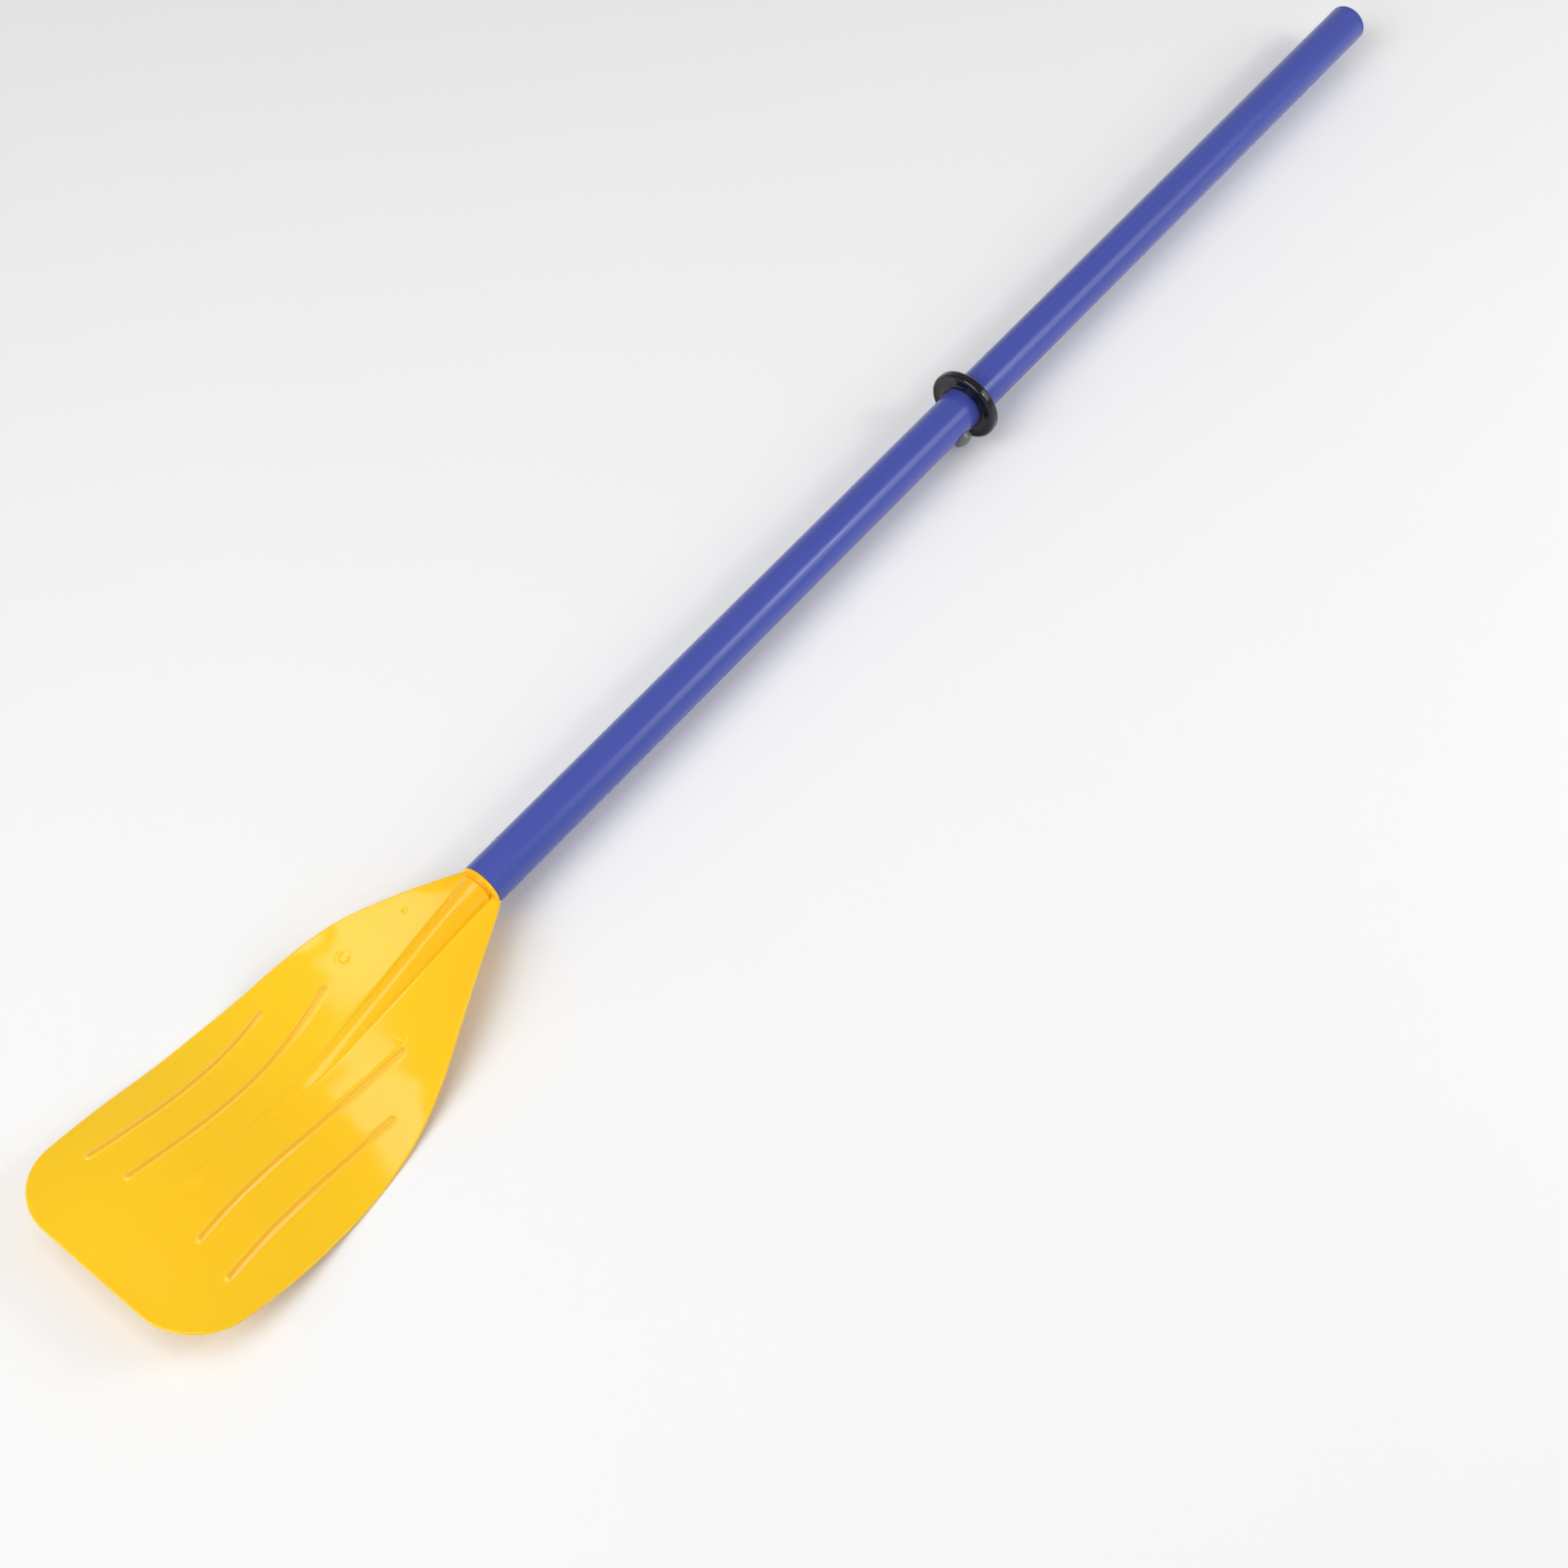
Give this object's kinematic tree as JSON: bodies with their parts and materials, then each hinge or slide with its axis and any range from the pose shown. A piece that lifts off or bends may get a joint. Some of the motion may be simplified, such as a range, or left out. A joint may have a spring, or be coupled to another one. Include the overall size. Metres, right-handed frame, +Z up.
{
  "type": "paddle",
  "caption": "Take-apart oar for a small inflatable boat: ribbed spoon blade, two-piece tube shaft with sprung snap button, sliding stop ring and capped handle.",
  "frame": {"origin": "on the surface the oar lies on, under the middle of its bounding box", "axes": "+X along the shaft from the blade to the handle end, +Z up, the way the blade's power face looks"},
  "size_m": [1.214, 0.1542, 0.0532],
  "materials": {
    "blade_yellow": "glossy moulded polypropylene, slightly translucent",
    "shaft_blue": "satin extruded plastic tube",
    "ring_black": "glossy black moulded plastic",
    "button_grey": "satin grey moulded plastic",
    "ferrule_white": "natural white plastic, not seen when joined",
    "spring_steel": "plain spring steel"
  },
  "bodies": {
    "blade_half": {"blade": "blade_yellow", "lower_shaft": "shaft_blue", "blade_pin": "spring_steel"},
    "handle_half": {"upper_shaft": "shaft_blue", "joint_ferrule": "ferrule_white", "ferrule_pin": "spring_steel", "end_cap": "shaft_blue", "button_spring": "spring_steel"},
    "button": {"snap_button": "button_grey"},
    "ring": {"stop_ring": "ring_black"}
  },
  "joints": [
    {"name": "shaft_pull", "type": "slide", "parent": "blade_half", "child": "handle_half", "axis": [1, 0, 0], "range_m": [0, 0.2]},
    {"name": "button_press", "type": "slide", "parent": "handle_half", "child": "button", "axis": [0, 0.829, 0.5592], "range_m": [0, 0.0072], "stiffness_N_per_m": 800, "springref_m": -0.003, "deforming": ["button_spring"]},
    {"name": "ring_slide", "type": "slide", "parent": "handle_half", "child": "ring", "axis": [1, 0, 0], "range_m": [-0.0085, 0.457]}
  ]
}
